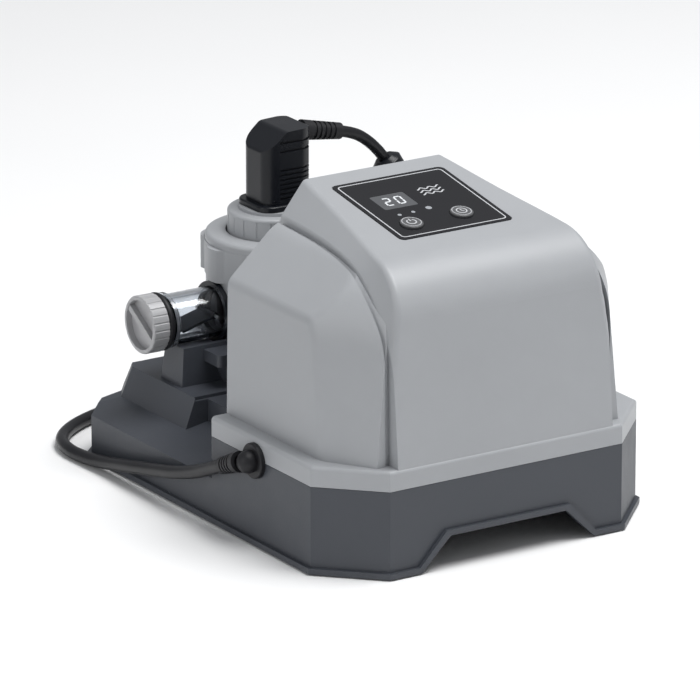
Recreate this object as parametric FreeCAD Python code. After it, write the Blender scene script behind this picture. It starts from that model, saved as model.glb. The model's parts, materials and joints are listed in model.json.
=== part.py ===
import FreeCAD, Part
import math
import os

# Salt chlorine generator: a control housing on a base tray, with the chlorine cell behind it.
# Millimetres. +Z is up, the control panel faces -Y, and the origin is on the ground, under the
# middle of the base tray.

V = FreeCAD.Vector
X_AXIS, Y_AXIS, Z_AXIS = V(1, 0, 0), V(0, 1, 0), V(0, 0, 1)

# Base tray
HALF_WIDTH = 117.0
HALF_DEPTH = 153.0
CORNER_CUT = 34.0
REAR_CUT = 19.0
FOOT_HEIGHT = 1.0
BASE_TOP = 54.7
BASE_WALL = 3.0
RIM_LIP = 2.5
LEDGE_Z = 33.0
LEDGE_FALL = 0.185
TIER_RUN = 7.0
MOUND_FRONT = 66.0
DECK_X = 74.0
PLATFORM_Z = 52.0
PLATFORM_X = 83.0
PLATFORM_REAR = 147.5
PLATFORM_CORNER = (81.0, 144.2)
PLATFORM_TURN = 31.6
DECK_Z = 49.0
ARCH_FOOT = 63.0
ARCH_TOP = 41.5
ARCH_HEIGHT = 21.0

# Control housing
SHELL_WALL = 2.5
SHELL_REAR = -8.0
FLANGE_TOP = 67.5
SIDE_X = 106.0
SHOULDER_Z = 183.0
SHOULDER_FRONT = -144.0
SHOULDER_ROLL = 47.0
SIDE_CREASE = 151.0
SHOULDER_CREST = 70.0
CORNER_REACH = 141.2
CORNER_LEAN = 10.7
CORNER_ROLL = 50.0
CORNER_TURN = 33.2
EDGE_ROUND = 4.0
SHOULDER_EDGE = 12.0
GROOVE_WIDTH = 3.5
GROOVE_DEPTH = 2.2
TOP_FRONT = (-117.0, 186.0)
TOP_REAR = (-5.0, 204.5)
FACE_FOOT = (-153.0, 55.0)
FACE_TOP = (-145.0, 153.0)
BROW_RADIUS = 35.0
PANEL_HALF = 40.0
PANEL_MIDDLE = -59.5
BUTTON_RADIUS = 7.2
BUTTON_GAP = 0.35
BUTTONS = {"power_button": (-22.0, -82.0), "mode_button": (15.0, -80.0)}

# Chlorine cell
CELL_Y = 106.0
PIPE_Z = 91.0
PIPE_RADIUS = 16.0
PIPE_BORE = 13.4
FLAP_HANG = 15.0
CANISTER_RADIUS = 43.0
CANISTER_BORE = 37.5
CANISTER_TOP = 127.0
NUT_FOOT, NUT_TOP = 110.4, 137.0
NUT_RADIUS = 45.2
NUT_LOBES = 8
COLLAR_RADIUS = 29.5
COLLAR_TOP = 151.0
PIN_SPOTS = [(-8, 0), (8, 0), (0, 8)]
PLUG_LEFT, PLUG_RIGHT = -15.0, 19.0
PLUG_DEEP = 16.0
PLUG_TOP = 203.6
PLUG_CORNER = 9.0

# Leads
MAINS_RADIUS = 4.2
LEAD_RADIUS = 3.65
FERRITE_RADIUS = 9.5
GROMMET_RADIUS = 11.0
GROMMET_SPOT = (-58.0, 54.0)
COIL_MIDDLE = V(88, 228, 1.1)
COIL_RADIUS = 47.0
COIL_ABREAST = 4
COIL_LAYERS = 2

os.makedirs("parts", exist_ok=True)
nodes = {}


def box(x0, x1, y0, y1, z0, z1):
    return Part.makeBox(x1 - x0, y1 - y0, z1 - z0, V(x0, y0, z0))


def rod(radius, start, axis, length):
    return Part.makeCylinder(radius, length, start, axis)


def ring(outer, inner, start, axis, length):
    return rod(outer, start, axis, length).cut(rod(inner, start, axis, length))


def flat(points):
    """A flat face on the given corners."""
    return Part.Face(Part.makePolygon(list(points) + [points[0]]))


def prism(points, low, high):
    """An upright prism on a plan outline."""
    return flat([V(x, y, low) for x, y in points]).extrude(V(0, 0, high - low))


def loft(sections, ruled=True):
    """A solid through outlines that have the same number of corners."""
    wires = [Part.makePolygon(list(points) + [points[0]]) for points in sections]
    return Part.makeLoft(wires, True, ruled)


def fuse(shapes):
    whole = shapes[0].multiFuse(shapes[1:]) if len(shapes) > 1 else shapes[0]
    return whole.removeSplitter()


def group(shapes):
    return Part.makeCompound(shapes)


def mirrored(shape):
    return shape.mirror(V(0, 0, 0), X_AXIS)


def rounded(shape, radius, wanted):
    """Rounds the edges that the test picks."""
    edges = [edge for edge in shape.Edges if wanted(edge)]
    return shape.makeFillet(radius, edges)


def add(name, shape):
    solids = shape.Solids
    nodes[name] = solids[0] if len(solids) == 1 else group(solids)


def rolled_outline(points, radii):
    """A closed wire through plan points, with an arc of the given radius at each corner that has one."""
    count = len(points)
    starts, ends = [], []
    edges = []
    for i, corner in enumerate(points):
        before, after = points[i - 1], points[(i + 1) % count]
        into = (corner - before).normalize()
        out = (after - corner).normalize()
        turn = into.getAngle(out)
        cut = radii[i] * math.tan(turn / 2)
        starts.append(corner - into * cut)
        ends.append(corner + out * cut)
        if radii[i] > 0:
            bisector = (out - into).normalize()
            middle = corner + bisector * (radii[i] / math.cos(turn / 2) - radii[i])
            edges.append(Part.Arc(starts[i], middle, ends[i]).toShape())
    lines = []
    for i in range(count):
        a, b = ends[i], starts[(i + 1) % count]
        if (b - a).Length > 1e-6:
            lines.append(Part.makeLine(a, b))
    return Part.Wire(Part.__sortEdges__(edges + lines))


# ---------------------------------------------------------------- base tray


def plan(inset=0.0):
    """The base tray's plan, with cut corners."""
    w, d = HALF_WIDTH - inset, HALF_DEPTH - inset
    slip = inset * math.tan(math.pi / 8)
    front, rear = CORNER_CUT - inset + slip, REAR_CUT - inset + slip
    return [(-w, -d + front), (-w + front, -d), (w - front, -d), (w, -d + front),
            (w, d - rear), (w - rear, d), (-w + rear, d), (-w, d - rear)]


def ledge_z(beyond):
    """Height of the mound's lower ledge, by the distance beyond the platform's edge."""
    return LEDGE_Z + LEDGE_FALL * (TIER_RUN - beyond)


def platform_bevel(inset, spot, turn, half):
    """A cutter beyond a line in plan: the platform's steep upper tier, then the flatter ledge below it."""
    reach = 60
    section = [
        V(-inset, -half, PLATFORM_Z - inset), V(TIER_RUN - inset, -half, LEDGE_Z - inset),
        V(reach, -half, ledge_z(reach) - inset), V(reach, -half, 120), V(-inset, -half, 120),
    ]
    cutter = flat(section).extrude(V(0, 2 * half, 0))
    cutter.rotate(V(0, 0, 0), Z_AXIS, turn)
    cutter.translate(V(*spot, 0))
    return cutter


def tray_form(inset):
    """The tray's outer form, or with an inset the hollow under it: a tall front under the housing, and a
    stepped mound under the cell. Between them the ledge runs on, on both sides of a raised deck."""
    top = BASE_TOP - inset
    front = prism(plan(inset), FOOT_HEIGHT - inset, top)
    front = front.common(box(-200, 200, -200, SHELL_REAR - inset, -50, 100))
    rear = prism(plan(inset), FOOT_HEIGHT - inset, 100)
    side = platform_bevel(inset, (PLATFORM_X, 0), 0, 200)
    corner = platform_bevel(inset, PLATFORM_CORNER, PLATFORM_TURN, 60)
    back = platform_bevel(inset, (0, PLATFORM_REAR), 90, 120)
    inner, outer = DECK_X - inset, HALF_WIDTH + 20
    section = [V(inner, SHELL_REAR - 1, 120), V(inner, SHELL_REAR - 1, ledge_z(inner - PLATFORM_X) - inset),
               V(outer, SHELL_REAR - 1, ledge_z(outer - PLATFORM_X) - inset), V(outer, SHELL_REAR - 1, 120)]
    gap = flat(section).extrude(V(0, MOUND_FRONT + inset - SHELL_REAR + 1, 0))
    deck = box(-PLATFORM_X, PLATFORM_X, SHELL_REAR, 68, DECK_Z + 1 - inset, 120)
    cap = box(-200, 200, -200, 200, PLATFORM_Z - inset, 120)
    for cutter in (side, corner, back, gap):
        rear = rear.cut(cutter).cut(mirrored(cutter))
    rear = rear.cut(cap).cut(deck)
    rear = rear.common(box(-200, 200, SHELL_REAR - 0.01, 200, -50, 120))
    return fuse([front, rear])


def arch(grow, low):
    """The opening between the front feet."""
    run = (ARCH_FOOT - ARCH_TOP) / ARCH_HEIGHT
    foot, crown = ARCH_FOOT + grow * 1.3, ARCH_TOP + grow * 0.8
    high = ARCH_HEIGHT + grow
    below = foot + run * (0 - low)
    return [V(-below, 0, low), V(-crown, 0, high), V(crown, 0, high), V(below, 0, low)]


def make_base():
    tray = tray_form(0)
    lip = prism(plan(-RIM_LIP), FOOT_HEIGHT, FOOT_HEIGHT + 3.5)
    frame = flat(arch(3.5, FOOT_HEIGHT)).extrude(V(0, 8, 0))
    frame.translate(V(0, -HALF_DEPTH - RIM_LIP, 0))
    tray = fuse([tray, lip, frame])
    tray = tray.cut(tray_form(BASE_WALL))
    opening = flat(arch(0, -5)).extrude(V(0, 30, 0))
    opening.translate(V(0, -HALF_DEPTH - 10, 0))
    tray = tray.cut(opening)
    # Bosses for the housing screws, and the posts that carry the feet
    inside = tray_form(1)
    bosses = [rod(5.5, V(x, y, SCREW_SEAT), Z_AXIS, 40) for x, y in SCREW_SPOTS]
    bosses += [rod(11, V(x, y, FOOT_HEIGHT), Z_AXIS, 60) for x, y in FOOT_SPOTS]
    tray = fuse([tray] + [boss.common(inside) for boss in bosses])
    for x, y in SCREW_SPOTS:
        tray = tray.cut(rod(1.6, V(x, y, 0), Z_AXIS, 90))
    for x, y in BRACKET_SPOTS:
        tray = tray.cut(rod(1.6, V(x, y, 40), Z_AXIS, 20))
    for x, y in FOOT_SPOTS:
        tray = tray.cut(rod(8.2, V(x, y, 0), Z_AXIS, 4))
    # Seats for the two grommets, half in the tray and half in the housing
    for side in (-1, 1):
        tray = tray.cut(rod(7, V(side * 100, *GROMMET_SPOT), X_AXIS * side, 30))
    return tray


SCREW_SPOTS = [(x, y) for x in (-99, 99) for y in (-105, -73, -22)]
SCREW_SEAT = 20.0
BRACKET_SPOTS = [(x, 98) for x in (-69, -57, 57, 69)]
BRACKET_TOP = 76.0
FOOT_SPOTS = [(-80, -124), (80, -124), (-88, 124), (88, 124)]

# ---------------------------------------------------------------- control housing


def profile_yz(points, radii, half):
    """An outline in the YZ plane, extruded both ways along X."""
    wire = rolled_outline([V(-half, y, z) for y, z in points], radii)
    return Part.Face(wire).extrude(V(2 * half, 0, 0))


def shoulder_form(inset, edge_radius=0.0):
    """The lower part of the housing: sloping upper sides, and front corners that roll over diagonally."""
    top = SHOULDER_Z - inset
    rear = SHELL_REAR
    front = SHOULDER_FRONT + inset
    foot = 55.0 - (inset > 0)
    side = profile_yz([(rear, foot), (rear, top), (front + 2, top), (front, foot)],
                      [0, 0, SHOULDER_ROLL - inset, 0], 150)
    w = SIDE_X - inset
    half = [(w + 0.3, foot), (w - 1, SIDE_CREASE - inset), (SHOULDER_CREST - inset, top)]
    outline = [V(x, -160, z) for x, z in half] + [V(-x, -160, z) for x, z in reversed(half)]
    crease, crest = 9 - inset, 24 - inset
    wire = rolled_outline(outline, [0, crease, crest, crest, crease, 0])
    across = Part.Face(wire).extrude(V(0, 200, 0))
    corner_top, corner_foot = CORNER_REACH - inset, CORNER_REACH + CORNER_LEAN - inset
    diagonal = [V(-200, -250, foot), V(-200, -250, top), V(corner_top, -250, top), V(corner_foot, -250, foot)]
    wire = rolled_outline(diagonal, [0, 0, CORNER_ROLL - inset, 0])
    corner = Part.Face(wire).extrude(V(0, 500, 0))
    corner.rotate(V(0, 0, 0), Z_AXIS, -CORNER_TURN)
    shoulder = side.common(across).common(corner).common(mirrored(corner))
    if edge_radius == 0:
        return shoulder
    return rounded(shoulder, edge_radius, lambda edge: edge.BoundBox.ZLength > 60
                   and abs(edge.BoundBox.XMin) > 95 and edge.BoundBox.YMax < -50)


def block_form(inset):
    """The raised middle of the housing: a sloping top, a rolled brow and an upright face."""
    slope = (TOP_REAR[1] - TOP_FRONT[1]) / (TOP_REAR[0] - TOP_FRONT[0])
    lean = (FACE_TOP[0] - FACE_FOOT[0]) / (FACE_TOP[1] - FACE_FOOT[1])
    corner_z = TOP_FRONT[1] + slope * (FACE_FOOT[0] - TOP_FRONT[0] - lean * FACE_FOOT[1])
    corner_z = corner_z / (1 - slope * lean)
    corner_y = FACE_FOOT[0] + lean * (corner_z - FACE_FOOT[1])
    foot = 55.0 - (inset > 0)
    body = profile_yz(
        [(TOP_REAR[0], foot), (TOP_REAR[0], TOP_REAR[1] - inset), (corner_y + inset, corner_z - inset),
         (FACE_FOOT[0] + inset, foot)], [0, 0, BROW_RADIUS - inset, 0], 150)
    walls = []
    for y, wide, crease, narrow, top in BLOCK_WALLS:
        steep = (top - crease) / (wide - narrow)
        half = [(wide - inset, 40), (wide - inset, crease - inset), (narrow - inset, top - inset)]
        half.append((narrow - inset - 40 / steep, top - inset + 40))
        walls.append([V(x, y, z) for x, z in half] + [V(-x, y, z) for x, z in reversed(half)])
    raised = body.common(loft(walls, False))
    if inset != 0:
        return raised
    return rounded(raised, EDGE_ROUND, lambda edge: edge.BoundBox.ZMin > 60 and edge.BoundBox.YLength > 8)


# The raised middle narrows to the rear: station Y, half-width and height at the crease, half-width and
# height at the top edge
BLOCK_WALLS = [(-160, 77.5, 100, 70, 178), (-140, 77, 142, 71, 171), (-128, 77, 160, 69.5, 181),
               (-108, 75, 174, 66, 188), (-88, 72, 179.5, 61.5, 192), (-38, 67, 183.5, 54, 199),
               (0, 65, 183.5, 48.5, 205)]


def housing_form(inset):
    """The housing's outer form, or its hollow. A groove runs between the shoulder and the middle."""
    flange = prism(plan(inset), 55 - (inset > 0), FLANGE_TOP - inset)
    if inset == 0:
        flange = rounded(flange, 2.5, lambda edge: edge.BoundBox.ZMin > FLANGE_TOP - 1)
    flange = flange.common(box(-200, 200, -200, SHELL_REAR, 0, 100))
    brim = shoulder_form(inset, SHOULDER_EDGE - inset).cut(block_form(-GROOVE_WIDTH - inset))
    return fuse([brim, shoulder_form(inset + GROOVE_DEPTH), block_form(inset), flange])


def panel_z(y):
    slope = (TOP_REAR[1] - TOP_FRONT[1]) / (TOP_REAR[0] - TOP_FRONT[0])
    return TOP_FRONT[1] + slope * (y - TOP_FRONT[0])


TILT = math.degrees(math.atan2(TOP_REAR[1] - TOP_FRONT[1], TOP_REAR[0] - TOP_FRONT[0]))
PANEL_NORMAL = V(0, -math.sin(math.radians(TILT)), math.cos(math.radians(TILT)))


def on_panel(shape, x, y, height=0.0):
    """Moves a shape made flat about the origin onto the sloping panel."""
    placed = shape.copy()
    placed.rotate(V(0, 0, 0), X_AXIS, TILT)
    placed.translate(V(x, y, panel_z(y)) + PANEL_NORMAL * height)
    return placed


def rounded_plate(half_x, half_y, radius, low, high):
    wire = rolled_outline([V(-half_x, -half_y, low), V(half_x, -half_y, low), V(half_x, half_y, low),
                           V(-half_x, half_y, low)], [radius] * 4)
    return Part.Face(wire).extrude(V(0, 0, high - low))


def make_shell():
    shell = housing_form(0)
    hollow = housing_form(SHELL_WALL).fuse(
        housing_form(SHELL_WALL).common(box(-200, 200, SHELL_REAR - 20, 0, 0, 300)).translated(V(0, 6, 0)))
    shell = shell.cut(hollow)
    posts = [rod(5, V(x, y, 58), Z_AXIS, 14).common(housing_form(0.5)) for x, y in SCREW_SPOTS]
    shell = fuse([shell] + posts)
    for x, y in SCREW_SPOTS:
        shell = shell.cut(rod(1.6, V(x, y, 50), Z_AXIS, 18))
    # A shallow bed for the panel label, and the openings under the display and the buttons
    shell = shell.cut(on_panel(rounded_plate(PANEL_HALF + 0.3, PANEL_HALF + 0.3, 4, -0.8, 9), 0, PANEL_MIDDLE))
    shell = shell.cut(on_panel(rounded_plate(15, 12, 2, -9, 9), *WINDOW_SPOT))
    for x, y in BUTTONS.values():
        shell = shell.cut(on_panel(rod(BUTTON_RADIUS + BUTTON_GAP, V(0, 0, -12), Z_AXIS, 24), x, y))
    for x, y, radius in LAMPS:
        shell = shell.cut(on_panel(rod(radius + 0.4, V(0, 0, -12), Z_AXIS, 24), x, y))
    for side in (-1, 1):
        shell = shell.cut(rod(7, V(side * 100, *GROMMET_SPOT), X_AXIS * side, 30))
    return shell


WINDOW_SPOT = (-14.5, -51.0)
LAMPS = [(-22, -69, 1.3), (-12, -68.5, 1.3), (0, -67, 2.0)]


def make_label():
    label = on_panel(rounded_plate(PANEL_HALF, PANEL_HALF, 4, -0.8, 0.3), 0, PANEL_MIDDLE)
    label = label.cut(on_panel(rounded_plate(12, 9.5, 1.5, -9, 9), *WINDOW_SPOT))
    for x, y in BUTTONS.values():
        label = label.cut(on_panel(rod(BUTTON_RADIUS + BUTTON_GAP, V(0, 0, -12), Z_AXIS, 24), x, y))
    for x, y, radius in LAMPS:
        label = label.cut(on_panel(rod(radius, V(0, 0, -12), Z_AXIS, 24), x, y))
    return label


def make_button(x, y):
    crown = rod(BUTTON_RADIUS, V(0, 0, -4), Z_AXIS, 5.6)
    crown = rounded(crown, 0.7, lambda edge: edge.BoundBox.ZMin > 1.5)
    skirt = rod(BUTTON_RADIUS + 1.5, V(0, 0, -5.5), Z_AXIS, 1.5)
    stem = rod(1.8, V(0, 0, -9), Z_AXIS, 4)
    return on_panel(fuse([crown, skirt, stem]), x, y)


# ---------------------------------------------------------------- rear cover


def cover_slope(inset):
    """A cutter above the plane that slopes the rear cover down, both to the back and to the right."""
    corner = V(62, 46, 134)
    inward, forward = V(-27, 0, 28), V(0, -51.5, 49)
    normal = inward.cross(forward).normalize()
    reach = [(-1, -1), (3, -1), (3, 2), (-1, 2)]
    plane = [corner - normal * inset + inward * a + forward * b for a, b in reach]
    return flat(plane).extrude(normal * 150)


def cover_form(inset):
    """The hump of the rear cover, or its hollow."""
    rear, foot = 46 - inset, DECK_Z + 1.3 - (inset > 0)
    side = profile_yz([(SHELL_REAR + 2.5, foot), (SHELL_REAR + 2.5, 199 - inset), (30, 190 - inset),
                       (rear, 170 - inset), (rear, foot)], [0, 0, 20, 12, 0], 120)
    w = 62 - inset
    outline = [V(-w, -20, foot), V(-w, -20, 170 - inset), V(-30, -20, 200 - inset), V(30, -20, 200 - inset),
               V(w, -20, 170 - inset), V(w, -20, foot)]
    across = Part.Face(rolled_outline(outline, [0, 18, 25, 25, 18, 0])).extrude(V(0, 120, 0))
    slope = cover_slope(inset)
    return side.common(across).cut(slope).cut(mirrored(slope))


def make_rear_cover():
    """A plate that closes the back of the housing, with a hump over the power board."""
    plate = housing_form(SHELL_WALL + 0.2).common(box(-200, 200, SHELL_REAR - 2, SHELL_REAR, 55.5, 300))
    hump = cover_form(0)
    cover = plate.fuse(box(-60, 60, SHELL_REAR - 2, SHELL_REAR + 3, 55.5, 160)).fuse(hump)
    inner = cover_form(SHELL_WALL).translated(V(0, -6, 0))
    inner = inner.fuse(inner.translated(V(0, -8, 0)))
    cover = cover.cut(inner)
    for x in (-40, 0, 40):
        for z in (80, 92, 104):
            cover = cover.cut(box(x - 12, x + 12, 30, 60, z, z + 3))
    return cover.removeSplitter()


# ---------------------------------------------------------------- chlorine cell


def at_cell(z):
    return V(0, CELL_Y, z)


def make_canister():
    barrel = rod(CANISTER_RADIUS, at_cell(60), Z_AXIS, NUT_FOOT - 0.4 - 60)
    barrel = rounded(barrel, 4, lambda edge: edge.BoundBox.ZMax < 61)
    neck = rod(CANISTER_RADIUS - 2, at_cell(70), Z_AXIS, CANISTER_TOP - 70)
    spigots = rod(18.6, V(-42.8, CELL_Y, PIPE_Z), X_AXIS, 85.6)
    cap = fuse([barrel, neck, spigots])
    cap = cap.cut(rod(CANISTER_BORE, at_cell(66), Z_AXIS, 80))
    cap = cap.cut(rod(PIPE_BORE, V(-60, CELL_Y, PIPE_Z), X_AXIS, 120))
    for side in (-1, 1):
        seat = rod(PIPE_RADIUS, V(side * 39.5, CELL_Y, PIPE_Z), X_AXIS * side, 20)
        cap = cap.cut(seat)
    return cap


def make_pipe():
    """The left-hand clear tube, which plugs into the canister and is wider at the free end's seat."""
    body = rod(PIPE_RADIUS, V(-39.5, CELL_Y, PIPE_Z), X_AXIS * -1, 42.5)
    bead = rod(PIPE_RADIUS + 1.6, V(-79.5, CELL_Y, PIPE_Z), X_AXIS * -1, 2.5)
    body = fuse([body, bead])
    return body.cut(rod(PIPE_BORE, V(-30, CELL_Y, PIPE_Z), X_AXIS * -1, 80))


def make_coupling():
    """The dark ring that locks the tube into the canister's spigot."""
    return ring(19.0, PIPE_RADIUS + 0.05, V(-43.4, CELL_Y, PIPE_Z), X_AXIS * -1, 3.4)


def make_port_cap():
    """A screw cap with a grip bar across its recessed face."""
    skirt = rod(18.3, V(-87.5, CELL_Y, PIPE_Z), X_AXIS * -1, 11)
    skirt = rounded(skirt, 1.2, lambda edge: edge.BoundBox.XMax < -98)
    skirt = skirt.cut(rod(15.6, V(-94.5, CELL_Y, PIPE_Z), X_AXIS * -1, 10))
    bar = box(-98, -94.6, CELL_Y - 15.8, CELL_Y + 15.8, PIPE_Z - 2, PIPE_Z + 2)
    bar.rotate(V(-90, CELL_Y, PIPE_Z), X_AXIS, 32)
    plug = rod(PIPE_BORE - 0.5, V(-77, CELL_Y, PIPE_Z), X_AXIS * -1, 12)
    whole = fuse([skirt, bar, plug])
    for i in range(24):
        notch = rod(0.8, V(-87, CELL_Y, PIPE_Z + 18.7), X_AXIS * -1, 13)
        notch.rotate(V(0, CELL_Y, PIPE_Z), X_AXIS, 360 * i / 24)
        whole = whole.cut(notch)
    return whole


def make_cap_ring():
    return Part.makeTorus(16.0, 2.3, V(-84.9, CELL_Y, PIPE_Z), X_AXIS)


def make_bracket():
    """The saddle that carries the canister on the platform: a cup with an arm under each tube."""
    def arms(shrink, low, top):
        foot = [(-79 + shrink, 88 + shrink), (79 - shrink, 88 + shrink), (79 - shrink, 113 - shrink),
                (-79 + shrink, 113 - shrink)]
        head = [(-76.5 + shrink, 90 + shrink), (76.5 - shrink, 90 + shrink), (76.5 - shrink, 111 - shrink),
                (-76.5 + shrink, 111 - shrink)]
        return loft([[V(x, y, low) for x, y in foot], [V(x, y, top) for x, y in head]])

    shell = arms(0, PLATFORM_Z, BRACKET_TOP).cut(arms(3, PLATFORM_Z - 0.1, BRACKET_TOP - 3))
    ledge = box(-62, 62, 72, 92, 66, 73.5)
    ledge = rounded(ledge, 3, lambda edge: abs(edge.BoundBox.ZLength) > 7)
    web = [V(-56, 74, 66), V(-50, 66, PLATFORM_Z), V(-50, 90, PLATFORM_Z), V(-56, 90, 66)]
    front = loft([web, [V(-p.x, p.y, p.z) for p in web]])
    cup = rod(CANISTER_RADIUS + 3, at_cell(PLATFORM_Z), Z_AXIS, 14)
    posts = [rod(4, V(x, y, PLATFORM_Z), Z_AXIS, BRACKET_TOP - 1 - PLATFORM_Z) for x, y in BRACKET_SPOTS]
    whole = fuse([shell, ledge, front, cup] + posts)
    for x, y in BRACKET_SPOTS:
        whole = whole.cut(rod(1.6, V(x, y, PLATFORM_Z - 1), Z_AXIS, 13))
    whole = whole.cut(rod(CANISTER_RADIUS + 0.3, at_cell(59.8), Z_AXIS, 60))
    whole = whole.cut(rod(PIPE_RADIUS + 0.2, V(-100, CELL_Y, PIPE_Z), X_AXIS, 200))
    whole = whole.cut(rod(19.3, V(-53, CELL_Y, PIPE_Z), X_AXIS, 106))
    for side in (-1, 1):
        whole = whole.cut(rod(18.9, V(side * 100, CELL_Y, PIPE_Z), X_AXIS * -side, 21.5))
    return whole


def make_nut():
    """The lock nut: a ring with eight broad grip lobes."""
    wave = []
    steps = NUT_LOBES * 12
    for i in range(steps):
        angle = 2 * math.pi * i / steps
        lift = max(0.0, math.cos(NUT_LOBES * angle)) ** 0.5
        r = NUT_RADIUS - 1.4 + 3.2 * lift
        wave.append(V(r * math.cos(angle), CELL_Y + r * math.sin(angle), NUT_FOOT))
    curve = Part.BSplineCurve()
    curve.interpolate(wave, PeriodicFlag=True)
    grip = Part.Face(Part.Wire(curve.toShape())).extrude(V(0, 0, 21))
    crown = rod(NUT_RADIUS - 1.8, at_cell(NUT_FOOT + 12), Z_AXIS, NUT_TOP - NUT_FOOT - 12)
    crown = rounded(crown, 3, lambda edge: edge.BoundBox.ZMin > NUT_TOP - 1)
    whole = grip.fuse(crown)
    whole = whole.cut(rod(CANISTER_RADIUS - 1.6, at_cell(NUT_FOOT - 1), Z_AXIS, 132.2 - NUT_FOOT + 1))
    return whole.cut(rod(COLLAR_RADIUS + 1.2, at_cell(NUT_FOOT), Z_AXIS, 60))


def make_cartridge_head():
    """The electrode cartridge's head: a flange under the nut and a ribbed collar above it."""
    flange = rod(CANISTER_RADIUS - 2.4, at_cell(CANISTER_TOP + 1.5), Z_AXIS, 2.9)
    neck = rod(CANISTER_BORE - 0.4, at_cell(118), Z_AXIS, 12)
    collar = rod(COLLAR_RADIUS, at_cell(128), Z_AXIS, COLLAR_TOP - 128)
    collar = rounded(collar, 2, lambda edge: edge.BoundBox.ZMin > COLLAR_TOP - 1)
    seat = rod(22.5, at_cell(COLLAR_TOP - 1), Z_AXIS, 3)
    whole = fuse([flange, neck, collar, seat])
    for i in range(20):
        groove = rod(1.0, V(COLLAR_RADIUS + 0.5, CELL_Y, NUT_TOP + 1.5), Z_AXIS, 10)
        groove.rotate(at_cell(0), Z_AXIS, 18 * i)
        whole = whole.cut(groove)
    return whole.cut(rod(18, at_cell(COLLAR_TOP - 3), Z_AXIS, 10))


def write_cell():
    add("cell_canister", make_canister())
    sides = {"left": lambda shape: shape, "right": mirrored}
    for side, place in sides.items():
        add(side + "_tube", place(make_pipe()))
        add(side + "_coupling_ring", place(make_coupling()))
        add(side + "_port_cap", place(make_port_cap()))
        add(side + "_cap_ring", place(make_cap_ring()))
    add("cell_bracket", make_bracket())
    under = PLATFORM_Z - BASE_WALL
    add("bracket_screws", group([upward_screw(x, y, under, 13) for x, y in BRACKET_SPOTS]))
    add("lock_nut", make_nut())
    add("slip_ring", ring(CANISTER_RADIUS - 2.2, COLLAR_RADIUS + 1.0, at_cell(131.6), Z_AXIS, 0.4))
    add("cartridge_head", make_cartridge_head())
    seal = Part.makeTorus(39.2, 0.75, at_cell(CANISTER_TOP + 0.75), Z_AXIS)
    add("cartridge_seal", seal)
    plates = []
    for i in range(7):
        x = -15 + 5 * i
        plates.append(box(x - 0.5, x + 0.5, CELL_Y - 26, CELL_Y + 26, 68, 116))
    add("electrode_plates", group(plates))
    comb = box(-20, 20, CELL_Y - 30, CELL_Y - 27, 72, 118).fuse(box(-20, 20, CELL_Y - 30, CELL_Y - 20, 116, 118))
    comb = comb.fuse(box(-20, 20, CELL_Y + 27, CELL_Y + 30, 72, 118))
    comb = comb.fuse(box(-20, 20, CELL_Y + 20, CELL_Y + 30, 116, 118))
    add("plate_combs", comb)
    pins = [rod(2.0, V(x, CELL_Y + y, 148.0), Z_AXIS, 12) for x, y in PIN_SPOTS]
    add("terminal_pins", group(pins))
    axle = rod(1.0, V(-50, CELL_Y - PIPE_BORE + 0.1, PIPE_Z), Y_AXIS, 2 * PIPE_BORE - 0.2)
    add("flap_pin", axle)
    flap = box(-74, -50, CELL_Y - 9, CELL_Y + 9, PIPE_Z - 0.8, PIPE_Z + 0.8)
    knuckle = rod(2.2, V(-50, CELL_Y - 9, PIPE_Z), Y_AXIS, 18)
    flap = flap.fuse(knuckle).cut(rod(1.05, V(-50, CELL_Y - 20, PIPE_Z), Y_AXIS, 40))
    flap.rotate(V(-50, CELL_Y, PIPE_Z), Y_AXIS, -FLAP_HANG)
    add("flow_flap", flap)


# ---------------------------------------------------------------- plug, leads and fasteners


def upward_screw(x, y, seat, length):
    """A pan-head screw driven up from below, with its head against the seat."""
    head = rod(3.0, V(x, y, seat - 2.4), Z_AXIS, 2.3)
    slot = box(x - 4, x + 4, y - 0.4, y + 0.4, seat - 3, seat - 1.6)
    return head.fuse(rod(1.5, V(x, y, seat - 0.1), Z_AXIS, length)).cut(slot)


def make_cell_plug():
    """The angled plug on the cell: an upright body with a cut corner, finger ribs and a lip at its foot."""
    foot = COLLAR_TOP + 2.2
    outline = [V(PLUG_LEFT, CELL_Y, foot), V(PLUG_RIGHT, CELL_Y, foot), V(PLUG_RIGHT, CELL_Y, PLUG_TOP),
               V(-1, CELL_Y, PLUG_TOP - 0.8), V(PLUG_LEFT, CELL_Y, PLUG_TOP - 13)]
    body = Part.Face(rolled_outline(outline, [0, 0, 2.5, 5, 3])).extrude(V(0, 2 * PLUG_DEEP, 0))
    body.translate(V(0, -PLUG_DEEP, 0))
    middle, half = (PLUG_LEFT + PLUG_RIGHT) / 2, (PLUG_RIGHT - PLUG_LEFT) / 2
    body = body.common(rounded_plate(half, PLUG_DEEP, PLUG_CORNER, foot, 220).translated(V(middle, CELL_Y, 0)))
    lip = rounded_plate(19, 18.5, 10, foot, foot + 3.5).translated(V(0, CELL_Y, 0))
    lip = rounded(lip, 1.2, lambda edge: edge.BoundBox.ZMin > foot + 3)
    body = fuse([body, lip])
    core = rounded_plate(half - 1.2, PLUG_DEEP - 1.3, PLUG_CORNER - 1, foot, 220)
    core.translate(V(middle, CELL_Y, 0))
    for i in range(9):
        low, high = (160 + 3.0 * i, 161.4 + 3.0 * i) if i < 7 else (151.5 + 5.5 * i, 153.1 + 5.5 * i)
        slot = box(-6, PLUG_RIGHT + 2, CELL_Y - PLUG_DEEP - 2, CELL_Y + PLUG_DEEP + 2, low, high)
        body = body.cut(slot.cut(core))
    body = body.cut(rod(13.5, at_cell(foot - 1), Z_AXIS, 7))
    for x, y in PIN_SPOTS:
        body = body.cut(rod(2.3, V(x, CELL_Y + y, foot), Z_AXIS, 12))
    return body


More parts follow.
